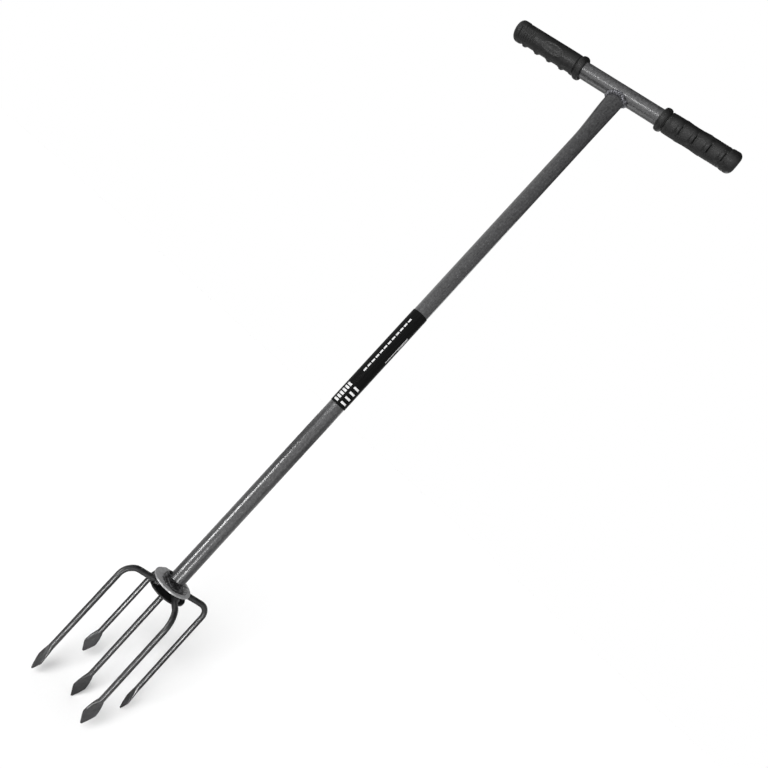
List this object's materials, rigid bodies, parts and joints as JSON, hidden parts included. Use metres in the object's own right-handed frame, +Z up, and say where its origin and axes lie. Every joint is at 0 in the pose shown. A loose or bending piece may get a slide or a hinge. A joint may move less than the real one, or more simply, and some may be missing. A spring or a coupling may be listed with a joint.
{
  "type": "claw cultivator",
  "caption": "T-handled claw cultivator: a steel shaft with a cross bar, two rubber grips, and bent tines round a centre spike.",
  "frame": {"origin": "at the level of the centre spike's point, under the middle of the handle bar", "axes": "+Z up the shaft to the handle bar, +X along the handle bar, +Y away from the front tines"},
  "size_m": [0.3264, 0.0942, 0.9697],
  "materials": {
    "tube_steel": "dark grey metallic coat, satin, faintly mottled, with drawn streaks",
    "forged_steel": "dark grey metallic coat over forged rod, semi-gloss",
    "disc_steel": "lighter grey metallic coat, fine grained, satin",
    "weld_metal": "dark lumpy weld bead under the coat",
    "grip_rubber": "moulded matte rubber with finger ridges and fine ribs",
    "label_film": "printed film sleeve, dark, satin"
  },
  "bodies": {
    "root": {"shaft_tube": "tube_steel", "handle_tube": "tube_steel", "label_sleeve": "label_film", "left_grip": "grip_rubber", "right_grip": "grip_rubber", "handle_weld": "weld_metal", "shaft_foot_weld": "weld_metal", "spike_weld": "weld_metal", "front_left_arm_weld": "weld_metal", "front_right_arm_weld": "weld_metal", "rear_left_arm_weld": "weld_metal", "rear_right_arm_weld": "weld_metal", "upper_disc": "disc_steel", "lower_disc": "disc_steel", "centre_spike": "forged_steel", "front_left_tine": "forged_steel", "front_right_tine": "forged_steel", "rear_left_tine": "forged_steel", "rear_right_tine": "forged_steel"}
  },
  "joints": []
}
